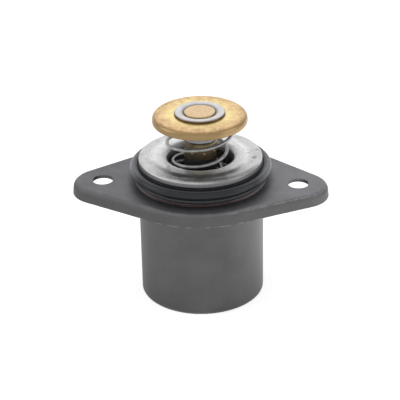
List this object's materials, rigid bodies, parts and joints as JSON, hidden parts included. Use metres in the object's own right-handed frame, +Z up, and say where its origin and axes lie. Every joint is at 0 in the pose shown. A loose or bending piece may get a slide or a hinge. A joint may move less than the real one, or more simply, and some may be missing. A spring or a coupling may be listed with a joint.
{
  "type": "engine coolant thermostat",
  "caption": "Wax-element coolant thermostat with a steel outlet sleeve, an offset oval bolt flange, a rubber seal, a pierced cover plate and a sprung brass bypass disc.",
  "frame": {"origin": "centre of the outlet sleeve's open lower end, which is the middle of the bounding box's bottom face", "axes": "+Z up along the sleeve's axis, from the open end to the bypass disc; +X along the line of the two bolt holes, which lies 4.5 mm off the sleeve's axis towards -Y"},
  "size_m": [0.1102, 0.0732, 0.0841],
  "materials": {
    "phosphated_flange_steel": "matt grey phosphate, bright where the edge is rubbed",
    "drawn_sleeve_steel": "satin grey drawn tube",
    "stainless_cover": "brushed in rings, bright",
    "inner_steel": "pressed, satin",
    "spring_steel": "drawn wire, semi-bright",
    "ground_steel": "ground, bright",
    "zinc_ring": "pale satin zinc",
    "brass": "pale satin brass",
    "dark_brass": "brown, tarnished by heat",
    "black_rubber": "moulded, slight sheen",
    "brown_fibre": "pressed fibre, reddish brown",
    "wax": "cast wax"
  },
  "bodies": {
    "housing": {"mounting_flange": "phosphated_flange_steel", "outlet_sleeve": "drawn_sleeve_steel", "backing_ring": "brown_fibre", "seal_ring": "black_rubber", "cover_plate": "stainless_cover", "valve_seat_ring": "inner_steel", "piston_bridge": "inner_steel", "piston": "ground_steel", "main_spring": "spring_steel"},
    "element": {"element_cup": "dark_brass", "wax_charge": "wax", "piston_boot": "black_rubber", "backup_washer": "ground_steel", "guide_body": "brass", "main_valve_disc": "inner_steel", "valve_seal": "black_rubber", "valve_lock_ring": "ground_steel", "stem_collar": "inner_steel", "bypass_stem": "brass", "retaining_ring": "zinc_ring", "bypass_spring": "spring_steel"},
    "bypass_valve": {"bypass_disc": "brass"}
  },
  "joints": [
    {"name": "element_lift", "type": "slide", "parent": "housing", "child": "element", "axis": [0, 0, 1], "range_m": [0, 0.008], "stiffness_N_per_m": 6000, "springref_m": -0.01, "deforming": ["main_spring"]},
    {"name": "bypass_slide", "type": "slide", "parent": "element", "child": "bypass_valve", "axis": [0, 0, -1], "range_m": [0, 0.0055], "stiffness_N_per_m": 600, "springref_m": -0.01, "deforming": ["bypass_spring"]}
  ]
}
